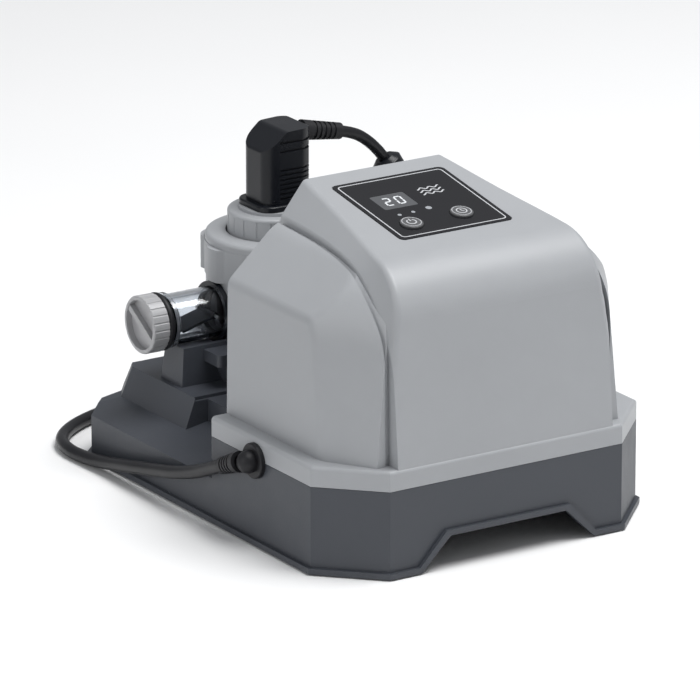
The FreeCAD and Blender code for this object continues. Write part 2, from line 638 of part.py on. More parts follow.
def boot(start, direction, length, wide, narrow, bore, rings):
    """A tapered, ringed strain relief about a lead."""
    cone = Part.makeCone(wide, narrow, length, start, direction)
    for i in range(rings):
        along = length * (0.25 + 0.62 * i / rings)
        r = wide + (narrow - wide) * along / length
        cone = cone.cut(ring(r + 2, r - 0.8, start + direction * along, direction, length * 0.28 / rings))
    return cone.cut(rod(bore, start, direction, length))


def make_grommet(side):
    """A disc on the housing's side, and a boot that turns the lead to the rear."""
    y, z = GROMMET_SPOT
    disc = rod(GROMMET_RADIUS, V(side * HALF_WIDTH, y, z), X_AXIS * side, 3.2)
    disc = rounded(disc, 1.0, lambda edge: abs(edge.BoundBox.XMin) > 120 or abs(edge.BoundBox.XMax) > 120)
    stem = rod(6.8, V(side * 112, y, z), X_AXIS * side, 6)
    head = Part.makeSphere(7.0, V(side * 122.5, y, z))
    head = head.common(box(-200, 200, -300, 300, 0, 200).cut(box(-HALF_WIDTH, HALF_WIDTH, -300, 300, 0, 200)))
    return fuse([disc, stem, head])


def route_tube(points, radius):
    """A round tube along straight runs that are joined by tangent arcs."""
    edges = []
    last = points[0]
    radii = []
    for i in range(1, len(points) - 1):
        before, corner, after = points[i - 1], points[i], points[i + 1]
        into, out = corner - before, after - corner
        turn = into.getAngle(out)
        reach = 0.45 * min(into.Length, out.Length)
        radii.append(reach / math.tan(turn / 2))
        into.normalize()
        out.normalize()
        a, b = corner - into * reach, corner + out * reach
        middle = corner + (out - into).normalize() * radii[-1] * (1 / math.cos(turn / 2) - 1)
        edges.append(Part.makeLine(last, a))
        edges.append(Part.Arc(a, middle, b).toShape())
        last = b
    edges.append(Part.makeLine(last, points[-1]))
    path = Part.Wire(edges)
    start = (points[1] - points[0]).normalize()
    section = Part.Wire(Part.makeCircle(radius, points[0], start))
    tube = path.makePipeShell([section], True, False)
    print("route", round(path.Length, 1), "mm; radii", [round(r) for r in radii],
          "; volume ratio", round(tube.Volume / (math.pi * radius ** 2 * path.Length), 3))
    return tube


LEAD_ROUTE = [V(44, 106, 192.8), V(57, 106, 190.2), V(69.5, 106, 182), V(80, 105.5, 170.5), V(89, 103, 154),
              V(98, 97, 137.5), V(108.5, 86, 120), V(118.5, 70, 103.5), V(127, 50, 88.5), V(132, 28, 76.5),
              V(132, 6, 67.5), V(129, -15, 61), V(125.5, -34, 56.5), V(124.5, -49, 55)]
PLUG_EXIT = V(PLUG_RIGHT, CELL_Y, 197.4)
FERRITE = (LEAD_ROUTE[3], LEAD_ROUTE[4])
MAINS_ROUTE = [V(-124.5, -49, 51.5), V(-124.5, -28, 43), V(-124.5, -4, 32.5), V(-125, 22, 24.5),
               V(-124.5, 49, 18.5), V(-125, 76, 13), V(-125, 102, 7.5), V(-127, 126, 4.4), V(-127.5, 148, 4.4),
               V(-120, 167, 4.4), V(-102, 183, 4.4), V(-79, 194, 4.4), V(-53, 201, 4.4), V(-26, 203, 4.4),
               V(0, 201, 4.6), V(24, 195.8, 5), V(35, 190.6, 5.3)]
MAINS_TAIL = [V(105, 166.0, 13.6), V(114, 165.2, 13.5), V(123, 164.1, 13.3), V(132, 162.8, 13.2)]


def make_coil():
    """The outer shape of the coiled mains cord."""
    half = COIL_ABREAST * MAINS_RADIUS + 0.6
    height = COIL_LAYERS * 2 * MAINS_RADIUS + 0.4
    coil = ring(COIL_RADIUS + half, COIL_RADIUS - half, COIL_MIDDLE, Z_AXIS, height)
    return rounded(coil, 4, lambda edge: edge.Length > 150)


def make_cord_tie():
    """A strap round the coil, at its far side."""
    half = COIL_ABREAST * MAINS_RADIUS + 0.9
    height = COIL_LAYERS * 2 * MAINS_RADIUS + 1.0
    middle = COIL_MIDDLE + V(0, COIL_RADIUS, 0)
    x, y, z = middle.x, middle.y, middle.z - 0.3
    band = box(x - 4, x + 4, y - half - 0.8, y + half + 0.8, z - 0.7, z + height + 0.8)
    return band.cut(box(x - 5, x + 5, y - half, y + half, z, z + height))


def make_ferrite():
    """The moulded suppressor on the cell lead."""
    a, b = FERRITE
    along = (b - a).normalize()
    start = a + along * 0.5
    taper, barrel = 3, 12
    body = rod(FERRITE_RADIUS, start + along * taper, along, barrel)
    body = body.fuse(Part.makeCone(6.0, FERRITE_RADIUS, taper, start, along))
    return body.fuse(Part.makeCone(FERRITE_RADIUS, 6.0, taper, start + along * (taper + barrel), along))


def make_mains_plug():
    """A two-pin moulded plug that lies on the coil's near side."""
    grip = Part.makeCone(8.5, 13.5, 26, V(0, 0, 0), X_AXIS)
    face = rod(17.5, V(26, 0, 0), X_AXIS, 9)
    face = rounded(face, 2, lambda edge: edge.Length > 60)
    plug = fuse([grip, face])
    plug = plug.common(box(-5, 60, -30, 30, -13, 13))
    return plug.cut(rod(2.4, V(30, -9.5, 0), X_AXIS, 20)).cut(rod(2.4, V(30, 9.5, 0), X_AXIS, 20))


PLUG_SPOT = V(132, 162.8, 13.2)
PLUG_TURN = -8


def place_plug(shape):
    placed = shape.copy()
    placed.rotate(V(0, 0, 0), Z_AXIS, PLUG_TURN)
    placed.translate(PLUG_SPOT)
    return placed


def write_leads():
    grommets = {side: make_grommet(side) for side in (-1, 1)}
    add("mains_grommet", grommets[-1])
    add("lead_grommet", grommets[1])
    toward = (MAINS_ROUTE[1] - MAINS_ROUTE[0]).normalize()
    sleeve = boot(MAINS_ROUTE[0] - toward * 4, toward, 22, 6.6, 5.2, MAINS_RADIUS, 4)
    add("mains_boot", sleeve.cut(grommets[-1]))
    toward_right = (LEAD_ROUTE[-2] - LEAD_ROUTE[-1]).normalize()
    sleeve = boot(LEAD_ROUTE[-1] - toward_right * 4, toward_right, 20, 6.4, 4.8, LEAD_RADIUS, 4)
    add("lead_boot", sleeve.cut(grommets[1]))
    plug = make_cell_plug()
    add("cell_plug", plug)
    droop = (LEAD_ROUTE[0] - PLUG_EXIT).normalize()
    add("plug_boot", boot(PLUG_EXIT, droop, 29, 6.5, 5.2, LEAD_RADIUS, 5).cut(plug))
    lead = route_tube(LEAD_ROUTE, LEAD_RADIUS)
    add("cell_lead", lead)
    add("mains_cord", route_tube(MAINS_ROUTE, MAINS_RADIUS))
    add("mains_tail", route_tube(MAINS_TAIL, MAINS_RADIUS))
    add("mains_coil", make_coil())
    add("cord_tie", make_cord_tie())
    add("lead_ferrite", make_ferrite().cut(lead).removeSplitter())
    add("mains_plug", place_plug(make_mains_plug()))
    add("plug_prongs", place_plug(group([rod(2.4, V(30, y, 0), X_AXIS, 24) for y in (-9.5, 9.5)])))


# ---------------------------------------------------------------- inside the housing


def write_inside():
    board = box(-34, 34, -98, -24, -15.4, -13.8)
    board.translate(V(0, -PANEL_MIDDLE, 0))
    add("display_board", on_panel(board, 0, PANEL_MIDDLE))
    add("display_module", on_panel(box(-12, 12, -9.5, 9.5, -13.8, -5), *WINDOW_SPOT))
    add("display_window", on_panel(rounded_plate(11.9, 9.4, 1.5, -1.6, 0.2), *WINDOW_SPOT))
    lamps = [on_panel(rod(r, V(0, 0, -4), Z_AXIS, 4.4), x, y) for x, y, r in LAMPS]
    add("indicator_lamps", group(lamps))
    switches = []
    for x, y in BUTTONS.values():
        switches.append(on_panel(box(-3, 3, -3, 3, -13.8, -10.6), x, y))
    add("tact_switches", group(switches))
    add("transformer", box(-40, 40, -90, -30, 58, 112).fuse(box(-46, 46, -78, -42, 66, 104)))
    fins = [box(-50 + 10 * i, -48 + 10 * i, 8, 19.9, 118, 146) for i in range(6)]
    add("heat_sink", fuse([box(-52, 4, 17, 19.9, 118, 146)] + fins))
    cans = [rod(6.5, V(20 + 15 * i, 19.9, 132), Y_AXIS * -1, 22) for i in range(2)]
    add("capacitors", group(cans))
    add("relay", box(-50, -22, 4, 19.9, 70, 88))
    add("fuse_holder", box(-14, 10, 9, 19.9, 70, 80))
    add("terminal_block", box(18, 50, 6, 19.9, 68, 80))
    spots = [(x, z) for x in (-50, 50) for z in (65, 112)]
    posts = [rod(1.5, V(x, 12, z), Y_AXIS, 14) for x, z in spots]
    heads = [rod(2.8, V(x, 18, z), Y_AXIS, 1.9) for x, z in spots]
    screws = [post.fuse(head).common(box(-60, 60, 18, 30, 60, 120)) for post, head in zip(posts, heads)]
    add("board_screws", group(screws))
    add("power_board", box(-55, 55, 20, 21.6, 62, 150).cut(group(screws)))


def write_housing():
    add("base_tray", make_base())
    feet = [rod(8, V(x, y, 0), Z_AXIS, 3.8) for x, y in FOOT_SPOTS]
    add("rubber_feet", group(feet))
    add("front_shell", make_shell())
    add("rear_cover", make_rear_cover())
    add("panel_label", make_label())
    for name, (x, y) in BUTTONS.items():
        add(name, make_button(x, y))
    add("housing_screws", group([upward_screw(x, y, SCREW_SEAT, 46) for x, y in SCREW_SPOTS]))


write_housing()
write_inside()
write_cell()
write_leads()
for name, shape in nodes.items():
    if not shape.isValid():
        print("INVALID", name)
    shape.exportStep("parts/" + name + ".step")
print(len(nodes), "nodes")
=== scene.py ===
# %% [markdown]
# # A salt chlorine generator
# The object is a pool accessory: a grey control housing stands on a dark tray, and a chlorine cell
# with two capped hose ports stands behind it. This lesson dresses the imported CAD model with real
# finishes, and adds the pieces that CAD doesn't make well: the soft cords, the printed panel and the
# lit figures. The frame is loaded first, because every later piece takes its place from it. Lengths
# are in metres, +Z is up, and the control panel faces -Y.

# %% Load the frame
import json
import math

import bmesh
import bpy
from mathutils import Matrix, Vector


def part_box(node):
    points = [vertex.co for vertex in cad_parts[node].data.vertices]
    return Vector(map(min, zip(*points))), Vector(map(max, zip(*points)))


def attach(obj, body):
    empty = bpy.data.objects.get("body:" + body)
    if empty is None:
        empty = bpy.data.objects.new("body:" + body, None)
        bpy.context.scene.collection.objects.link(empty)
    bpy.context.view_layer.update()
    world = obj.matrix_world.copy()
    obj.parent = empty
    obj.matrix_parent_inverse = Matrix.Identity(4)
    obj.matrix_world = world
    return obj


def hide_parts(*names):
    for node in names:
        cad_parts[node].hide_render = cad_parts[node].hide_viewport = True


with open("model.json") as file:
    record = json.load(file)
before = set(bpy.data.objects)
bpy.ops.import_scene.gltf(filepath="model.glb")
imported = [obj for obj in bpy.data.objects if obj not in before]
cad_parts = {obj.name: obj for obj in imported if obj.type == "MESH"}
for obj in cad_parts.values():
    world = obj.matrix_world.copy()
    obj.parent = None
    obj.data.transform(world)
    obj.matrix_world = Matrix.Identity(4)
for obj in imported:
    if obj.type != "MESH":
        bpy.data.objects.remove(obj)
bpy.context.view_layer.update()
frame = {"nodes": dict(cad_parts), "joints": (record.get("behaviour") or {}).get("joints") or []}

MM = 0.001

# %% [markdown]
# ## Camera
# A long lens from the front left, a little above, gives calm and nearly parallel edges, as a maker's
# catalogue does. The camera could be placed by hand, but working its place out from a middle, a
# distance and two angles keeps the view easy to change. It then turns to an aim point that is in the
# middle of what is seen of the object, so the lens needs no shift.

# %% Camera
AZIMUTH = math.radians(33.0)
ELEVATION = math.radians(18.1)
DISTANCE = 4.49
MIDDLE = Vector((0, -0.018, 0.090))
AIM = Vector((-0.0244, -0.018, 0.0959))

back = Vector((-math.sin(AZIMUTH) * math.cos(ELEVATION), -math.cos(AZIMUTH) * math.cos(ELEVATION),
               math.sin(ELEVATION)))
lens = bpy.data.cameras.new("catalogue_lens")
lens.lens = 380
lens.sensor_width = 36
camera = bpy.data.objects.new("camera", lens)
camera.location = MIDDLE + back * DISTANCE
camera.rotation_mode = "QUATERNION"
camera.rotation_quaternion = (camera.location - AIM).to_track_quat("Z", "Y")
bpy.context.scene.collection.objects.link(camera)
bpy.context.scene.camera = camera
bpy.context.scene.view_settings.view_transform = "Standard"
print("camera at", [round(v, 3) for v in camera.location])

# %% [markdown]
# ## Cords
# The unit has two cords. The mains cord leaves the left side through a bend relief, drops to the
# ground, rounds the tray and ends in a neat coil with its plug on top. The cell lead bends over from
# the plug on the cell, passes behind the housing and enters its right side. A mesh tube could be
# lofted, but a NURBS curve of order 3 is smooth wherever its control points are, so it bends as a
# real cord does. The order is set after the points, because a new spline has too few points to take
# it. Each point's radius is the cord's own and the bevel's depth is one, because a curve's bounding
# box takes in the points' radii.

# %% A helper for cords
def round_cord(name, points, diameter):
    """A smooth round cord whose control points are the given places."""
    data = bpy.data.curves.new(name, "CURVE")
    data.dimensions = "3D"
    line = data.splines.new("NURBS")
    line.points.add(len(points) - 1)
    for knot, place in zip(line.points, points):
        knot.co = (*place, 1.0)
        knot.radius = diameter / 2
    line.order_u = 3
    line.use_endpoint_u = True
    data.resolution_u = 6
    data.bevel_depth = 1.0
    data.bevel_resolution = 6
    data.use_fill_caps = True
    piece = bpy.data.objects.new(name, data)
    bpy.context.scene.collection.objects.link(piece)
    return piece


def metres(rows):
    return [Vector(row) * MM for row in rows]


# %% The mains cord's route
MAINS_DIAMETER = 8.4 * MM
MAINS_ROUTE = metres([
    (-124.5, -49, 51.5), (-124.5, -28, 43), (-124.5, -4, 32.5), (-125, 22, 24.5), (-124.5, 49, 18.5),
    (-125, 76, 13), (-125, 102, 7.5), (-127, 126, 4.4), (-127.5, 148, 4.4), (-120, 167, 4.4),
    (-102, 183, 4.4), (-79, 194, 4.4), (-53, 201, 4.4), (-26, 203, 4.4), (0, 201, 4.6),
    (24, 195.8, 5), (35, 190.6, 5.3)])
MAINS_TAIL = metres([(105, 166.0, 13.6), (114, 165.2, 13.5), (123, 164.1, 13.3), (132, 162.8, 13.2)])
COIL_MIDDLE = Vector((88, 228, 1.1)) * MM
TURN_POINTS = 16
COIL_START = 240
TURNS_IN, TURNS_UP, TURNS_OUT = 3.0, 0.25, 2.8125
WIDE_TURN, TIGHT_TURN, LOW_TIGHT_TURN = 60.0 * MM, 33.9 * MM, 34.3 * MM
LOW_LAYER, HIGH_LAYER = 4.3 * MM, 12.7 * MM

# %% [markdown]
# The coil's turns are worked out: three turns wind inwards on the ground, a quarter turn climbs one
# diameter, and nearly three turns wind back outwards on top. A control polygon lies a little outside
# its curve, so its radius is stretched to put the cord itself at the wanted radius.

# %% The coil's turns
def coil_turn(start, turns, wide_from, wide_to, low, high):
    """Control points of part of the coil, from an angle in degrees, turning anticlockwise."""
    steps = round(turns * TURN_POINTS)
    places = []
    for step in range(steps):
        share = step / steps
        angle = math.radians(start + 360 * turns * share)
        reach = (wide_from + (wide_to - wide_from) * share) / math.cos(math.pi / TURN_POINTS)
        lift = low + (high - low) * share * share * (3 - 2 * share)
        places.append(COIL_MIDDLE + Vector((reach * math.cos(angle), reach * math.sin(angle), lift)))
    return places


coil = coil_turn(COIL_START, TURNS_IN, WIDE_TURN, LOW_TIGHT_TURN, LOW_LAYER, LOW_LAYER)
coil += coil_turn(COIL_START, TURNS_UP, LOW_TIGHT_TURN, TIGHT_TURN, LOW_LAYER, HIGH_LAYER)
coil += coil_turn(COIL_START + 360 * TURNS_UP, TURNS_OUT, TIGHT_TURN, WIDE_TURN, HIGH_LAYER, HIGH_LAYER)
mains_cord = round_cord("mains_lead", MAINS_ROUTE + coil + MAINS_TAIL, MAINS_DIAMETER)
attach(mains_cord, "root")
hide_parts("mains_cord", "mains_coil", "mains_tail")
print("mains cord points:", len(mains_cord.data.splines[0].points))

# %% The cell lead
LEAD_DIAMETER = 7.3 * MM
LEAD_ROUTE = metres([
    (44, 106, 192.8), (57, 106, 190.2), (69.5, 106, 182), (80, 105.5, 170.5), (89, 103, 154),
    (98, 97, 137.5), (108.5, 86, 120), (118.5, 70, 103.5), (127, 50, 88.5), (132, 28, 76.5),
    (132, 6, 67.5), (129, -15, 61), (125.5, -34, 56.5), (124.5, -49, 55)])
cell_lead = round_cord("cell_lead_cord", LEAD_ROUTE, LEAD_DIAMETER)
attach(cell_lead, "root")
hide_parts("cell_lead")
print("cell lead points:", len(cell_lead.data.splines[0].points))

# %% [markdown]
# ## Writing finishes as expressions
# A finish is a small program of nodes. Wiring nodes one by one hides the idea, so one class wraps a
# socket and overloads the arithmetic operators: `1 - mask * 0.3` then adds the Math nodes by itself.
# A second class holds the material and adds every other node by one method, which takes the node's
# type, its settings and its sockets.

# %% A socket that does arithmetic
class Wire:
    """An output socket. Arithmetic on it adds Math nodes, and numbers may stand on either side."""

    def __init__(self, tree, socket):
        self.tree = tree
        self.socket = socket

    def math(self, operation, left, right):
        node = self.tree.nodes.new("ShaderNodeMath")
        node.operation = operation
        for place, value in zip(node.inputs, (left, right)):
            plug_in(self.tree, place, value)
        return Wire(self.tree, node.outputs[0])

    def __add__(self, other):
        return self.math("ADD", self, other)

    def __radd__(self, other):
        return self.math("ADD", other, self)

    def __sub__(self, other):
        return self.math("SUBTRACT", self, other)

    def __rsub__(self, other):
        return self.math("SUBTRACT", other, self)

    def __mul__(self, other):
        return self.math("MULTIPLY", self, other)

    def __rmul__(self, other):
        return self.math("MULTIPLY", other, self)


def plug_in(tree, place, value):
    """Links a wire to a socket, or sets the socket to a plain value."""
    if isinstance(value, Wire):
        tree.links.new(value.socket, place)
    else:
        place.default_value = value


# %% A finish
class Finish:
    """A material around one Principled shader."""

    def __init__(self, name):
        self.material = bpy.data.materials.new(name)
        self.material.use_nodes = True
        self.tree = self.material.node_tree
        self.shader = self.tree.nodes["Principled BSDF"]

    def node(self, kind, settings=None, sockets=None, output=0):
        """Adds any node: its settings first, then its sockets' values or wires."""
        made = self.tree.nodes.new(kind)
        for name, value in (settings or {}).items():
            if name == "stops":
                self.set_stops(made.color_ramp, value)
            else:
                setattr(made, name, value)
        for name, value in (sockets or {}).items():
            plug_in(self.tree, made.inputs[name], value)
        return Wire(self.tree, made.outputs[output])

    @staticmethod
    def set_stops(ramp, stops):
        while len(ramp.elements) < len(stops):
            ramp.elements.new(0.5)
        for element, (position, colour) in zip(ramp.elements, stops):
            element.position = position
            element.color = colour

    def place(self):
        """Where a point is on the object, in metres, which is the same for every piece."""
        return self.node("ShaderNodeTexCoord", output=3)

    def noise(self, scale, detail=2.0, stretch=(1, 1, 1)):
        """Soft random values about 0.5. Scale is in cycles for each metre."""
        where = self.node("ShaderNodeMapping", sockets={"Vector": self.place(), "Scale": stretch})
        return self.node("ShaderNodeTexNoise", sockets={"Vector": where, "Scale": scale, "Detail": detail})

    def mix(self, mask, dark, light):
        """A colour between two colours, by a mask."""
        return self.node("ShaderNodeMix", {"data_type": "RGBA"}, {0: mask, 6: dark, 7: light}, output=2)

    def bump(self, height, strength, distance):
        return self.node("ShaderNodeBump", sockets={"Height": height, "Strength": strength,
                                                    "Distance": distance})

    def shade(self, **sockets):
        """Sets the shader's sockets; an underscore stands for a space."""
        for name, value in sockets.items():
            plug_in(self.tree, self.shader.inputs[name.replace("_", " ")], value)
        return self.material


def tint(red, green, blue, share=1.0):
    return (red * share, green * share, blue * share, 1.0)


# %% [markdown]
# ## Moulded plastic
# Most of the object is injection-moulded. A mould's etched skin leaves a fine grain, and the
# plastic's colour and shine vary slowly where it cooled at different speeds. A painted texture could
# be wrapped on, but noise at three scales needs no file and fits any shape: broad for colour,
# middling for shine, and fine for the grain, which goes through a Bump node.

# %% Moulded plastic
def moulded(name, colour, roughness, grain, depth, gloss=0.5):
    """Grained plastic. Grain is in cycles for each metre, and depth is in metres. Gloss is how much it
    mirrors."""
    finish = Finish(name)
    cloudy = finish.noise(9, 3)
    patchy = finish.noise(70, 4)
    skin = finish.noise(grain, 3)
    colours = finish.mix(cloudy * 0.7 + patchy * 0.3, tint(*colour, 0.93), tint(*colour, 1.07))
    shine = roughness + (patchy - 0.5) * 0.12 + (skin - 0.5) * 0.08
    return finish.shade(Base_Color=colours, Roughness=shine, Normal=finish.bump(skin, 0.35, depth),
                        Specular_IOR_Level=gloss)


HOUSING_GREY = (0.335, 0.345, 0.36)
TRAY_GREY = (0.046, 0.051, 0.062)
housing_plastic = moulded("housing_plastic", HOUSING_GREY, 0.42, 1500, 0.00012)
tray_plastic = moulded("tray_plastic", TRAY_GREY, 0.46, 1100, 0.00018)
black_plastic = moulded("black_plastic", (0.005, 0.006, 0.009), 0.3, 1300, 0.0001, 0.3)
white_plastic = moulded("white_plastic", (0.72, 0.72, 0.70), 0.4, 900, 0.0001)
key_plastic = moulded("key_plastic", (0.085, 0.086, 0.09), 0.38, 2200, 0.00006)
green_plastic = moulded("terminal_plastic", (0.03, 0.16, 0.07), 0.42, 900, 0.0001)
print("moulded plastics made")

# %% [markdown]
# ## Rubber and cord sheath
# The feet, seals, bend reliefs and cords are soft plastic. Theirs is a matt, slightly dusty black.
# The cord's sheath also shows faint lengthwise drag marks from the die that it was drawn through, so
# its noise is stretched.

# %% Rubber
def soft_plastic(name, colour, roughness, dust, stretch):
    finish = Finish(name)
    drag = finish.noise(600, 3, stretch)
    dusty = finish.noise(40, 5)
    mask = finish.node("ShaderNodeValToRGB", {"stops": [(0.45, (0, 0, 0, 1)), (0.75, (1, 1, 1, 1))]},
                       {"Fac": dusty})
    colours = finish.mix(mask * dust, tint(*colour), (0.12, 0.12, 0.125, 1))
    return finish.shade(Base_Color=colours, Roughness=roughness + (drag - 0.5) * 0.15,
                        Specular_IOR_Level=0.35, Normal=finish.bump(drag, 0.3, 0.0001))


rubber = soft_plastic("rubber", (0.008, 0.008, 0.010), 0.5, 0.05, (1, 1, 1))
sheath = soft_plastic("cord_sheath", (0.006, 0.006, 0.008), 0.34, 0.03, (1, 0.1, 1))
print("rubber and sheath made")

# %% [markdown]
# ## Clear and smoky plastic
# The cross tube is clear polycarbonate: it bends light and shows the dark flap inside. Full
# transmission on the Principled shader does that, with a trace of haze in the roughness. The screw
# caps are a smoky, nearly opaque grey that still lets a little light in below its skin.

# %% Clear plastic
def clear_plastic(name, colour, roughness, transmission):
    finish = Finish(name)
    haze = finish.noise(55, 4)
    scuffs = finish.noise(500, 4, (1, 0.15, 1))
    return finish.shade(Base_Color=finish.mix(haze, tint(*colour, 0.94), tint(*colour)),
                        Roughness=roughness + haze * 0.04, Normal=finish.bump(scuffs, 0.08, 0.0001),
                        Transmission_Weight=transmission, IOR=1.58)


polycarbonate = clear_plastic("polycarbonate", (0.86, 0.89, 0.93), 0.02, 1.0)
smoky_plastic = clear_plastic("smoky_plastic", (0.42, 0.42, 0.43), 0.3, 0.15)
lamp_lens = clear_plastic("lamp_lens", (0.42, 0.44, 0.47), 0.25, 0.2)
print("clear plastics made")

# %% [markdown]
# ## Gloss film and display
# The panel label is a black polyester film, glued into a shallow bed, with a hard gloss. Film is
# never quite flat, so a broad, shallow bump makes its reflections swim a little. The display window
# is a grey tinted patch in the film.

# %% Film
def film(name, colour, roughness):
    finish = Finish(name)
    swim = finish.noise(35, 2)
    specks = finish.noise(1800, 2)
    colours = finish.mix(specks, tint(*colour, 0.85), tint(*colour, 1.15))
    return finish.shade(Base_Color=colours, Roughness=roughness + (swim - 0.5) * 0.06,
                        Normal=finish.bump(swim, 0.25, 0.0004), Specular_IOR_Level=0.25, Coat_Weight=0.12,
                        Coat_Roughness=0.1)


label_film = film("label_film", (0.007, 0.007, 0.009), 0.22)
window_film = film("window_film", (0.085, 0.088, 0.094), 0.16)
print("films made")

# %% [markdown]
# ## Metals
# Screws are zinc-plated steel, the plug's pins are nickel, the heat sink is extruded aluminium, and
# the cell's plates are titanium with a dark oxide coat. All are the same recipe: full metal with a
# stretched noise that draws fine lines along the working direction, and a patchy one that dulls it in
# places.

# %% Metal
def metal(name, colour, roughness, stretch, lines):
    finish = Finish(name)
    brushed = finish.noise(lines, 3, stretch)
    dull = finish.noise(110, 4)
    colours = finish.mix(dull, tint(*colour, 0.82), tint(*colour))
    return finish.shade(Base_Color=colours, Metallic=1.0, Roughness=roughness + (brushed - 0.5) * 0.2,
                        Normal=finish.bump(brushed, 0.2, 0.00005))


zinc = metal("zinc_steel", (0.60, 0.60, 0.58), 0.34, (1, 1, 0.1), 900)
nickel = metal("nickel", (0.66, 0.64, 0.60), 0.25, (0.1, 1, 1), 900)
aluminium = metal("aluminium", (0.72, 0.72, 0.73), 0.4, (1, 1, 0.05), 1200)
titanium = metal("coated_titanium", (0.24, 0.22, 0.21), 0.5, (1, 0.2, 0.2), 1500)
print("metals made")

# %% [markdown]
# ## Circuit boards and windings
# Nobody sees these until the housing is opened, yet they are real pieces. The board's copper tracks
# show as lighter lines under the green varnish, and a Brick texture with thin mortar gives lines at
# right angles. The transformer's core is a stack of varnished sheets, so a Wave texture bands it.

# %% Circuit board
def board_varnish():
    finish = Finish("board_varnish")
    tracks = finish.node("ShaderNodeTexBrick", {"offset": 0.37},
                         {"Vector": finish.place(), "Scale": 160.0, "Mortar Size": 0.05,
                          "Color1": (0, 0, 0, 1), "Color2": (0, 0, 0, 1), "Mortar": (1, 1, 1, 1)}, 1)
    colours = finish.mix(tracks, (0.012, 0.085, 0.035, 1), (0.03, 0.19, 0.07, 1))
    return finish.shade(Base_Color=colours, Roughness=0.3 + finish.noise(300) * 0.1,
                        Normal=finish.bump(tracks, 0.4, 0.0001), Coat_Weight=0.4)


def stacked_iron():
    finish = Finish("stacked_iron")
    sheets = finish.node("ShaderNodeTexWave", {"bands_direction": "X"},
                         {"Vector": finish.place(), "Scale": 300.0, "Distortion": 0.4}, 1)
    colours = finish.mix(sheets, (0.03, 0.028, 0.026, 1), (0.11, 0.10, 0.095, 1))
    return finish.shade(Base_Color=colours, Metallic=0.6, Roughness=0.5 + finish.noise(200) * 0.15,
                        Normal=finish.bump(sheets, 0.5, 0.0002))


board = board_varnish()
iron = stacked_iron()
print("boards and iron made")

# %% [markdown]
# ## Dressing the CAD nodes
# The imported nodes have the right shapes, so they keep them and only take a finish. A dictionary from
# finish to node names reads like a parts list, and the loop that uses it reports any node that was
# left out.

# %% Dress the nodes
DRESS = {
    housing_plastic: ["front_shell", "rear_cover", "cell_canister", "lock_nut", "cartridge_head"],
    tray_plastic: ["base_tray", "cell_bracket"],
    black_plastic: ["cell_plug", "lead_ferrite", "mains_plug", "left_coupling_ring", "right_coupling_ring",
                    "flow_flap", "relay", "fuse_holder", "tact_switches", "capacitors", "display_module"],
    rubber: ["rubber_feet", "left_cap_ring", "right_cap_ring", "cartridge_seal", "mains_grommet",
             "lead_grommet", "mains_boot", "lead_boot", "plug_boot", "cord_tie"],
    sheath: ["cell_lead", "mains_cord", "mains_tail", "mains_coil"],
    white_plastic: ["slip_ring", "plate_combs"],
    key_plastic: ["power_button", "mode_button"],
    green_plastic: ["terminal_block"],
    polycarbonate: ["left_tube", "right_tube"],
    smoky_plastic: ["left_port_cap", "right_port_cap"],
    lamp_lens: ["indicator_lamps"],
    label_film: ["panel_label"],
    window_film: ["display_window"],
    zinc: ["housing_screws", "bracket_screws", "board_screws", "flap_pin"],
    nickel: ["plug_prongs"],
    aluminium: ["heat_sink"],
    titanium: ["electrode_plates", "terminal_pins"],
    board: ["display_board", "power_board"],
    iron: ["transformer"],
}


def dress(piece, material):
    piece.data.materials.clear()
    piece.data.materials.append(material)


for material, names in DRESS.items():
    for name in names:
        dress(frame["nodes"][name], material)
for cord in (mains_cord, cell_lead):
    dress(cord, sheath)
dressed = {name for names in DRESS.values() for name in names}
print("nodes without a finish:", sorted(set(frame["nodes"]) - dressed))

# %% [markdown]
# ## The printed panel
# The label carries a thin light frame line, small marks and lit figures. They could be drawn in the
# label's material, but thin raised strokes are real shapes and stay sharp at any size. Each stroke is
# a four-sided bar that follows a list of points in the panel's own plane. The panel's tilt comes from
# the direction in which its buttons press, and its middle from the label's box.

# %% The panel's plane
press = next(joint for joint in frame["joints"] if joint["name"] == "power_button_press")["axis"]
tilt = math.atan2(press[1], -press[2])
low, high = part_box("panel_label")
FILM_TOP = 0.55 * MM
panel = Matrix.Translation((low + high) / 2) @ Matrix.Rotation(tilt, 4, "X") @ Matrix.Translation(
    (0, 0, FILM_TOP))
print("panel tilt:", round(math.degrees(tilt), 2), "degrees")


# %% Strokes
def stroke(mesh, points, width, foot, top, closed=False):
    """Adds a bar of the given width along points in the panel's plane, from foot to top above the film."""
    count = len(points)
    rings = []
    for i, point in enumerate(points):
        before = points[i - 1] if closed or i > 0 else point
        after = points[(i + 1) % count] if closed or i < count - 1 else point
        into = (point - before).normalized()
        out = (after - point).normalized()
        along = (into + out).normalized()
        side = Vector((-along.y, along.x))
        reach = width / 2 / max(0.5, side.dot(Vector((-out.y, out.x)) if out.length else side))
        corners = [(side * reach, top), (side * -reach, top), (side * -reach, foot), (side * reach, foot)]
        rings.append([mesh.verts.new((*(point + shift), height)) for shift, height in corners])
    for i in range(count if closed else count - 1):
        a, b = rings[i], rings[(i + 1) % count]
        for k in range(4):
            mesh.faces.new((a[k], b[k], b[(k + 1) % 4], a[(k + 1) % 4]))
    if not closed:
        mesh.faces.new(rings[0])
        mesh.faces.new(list(reversed(rings[-1])))


def arc(middle, radius, start, end, steps):
    """Points on an arc, with angles in degrees."""
    angles = [math.radians(start + (end - start) * i / steps) for i in range(steps + 1)]
    return [Vector(middle) + Vector((math.cos(a), math.sin(a))) * radius for a in angles]


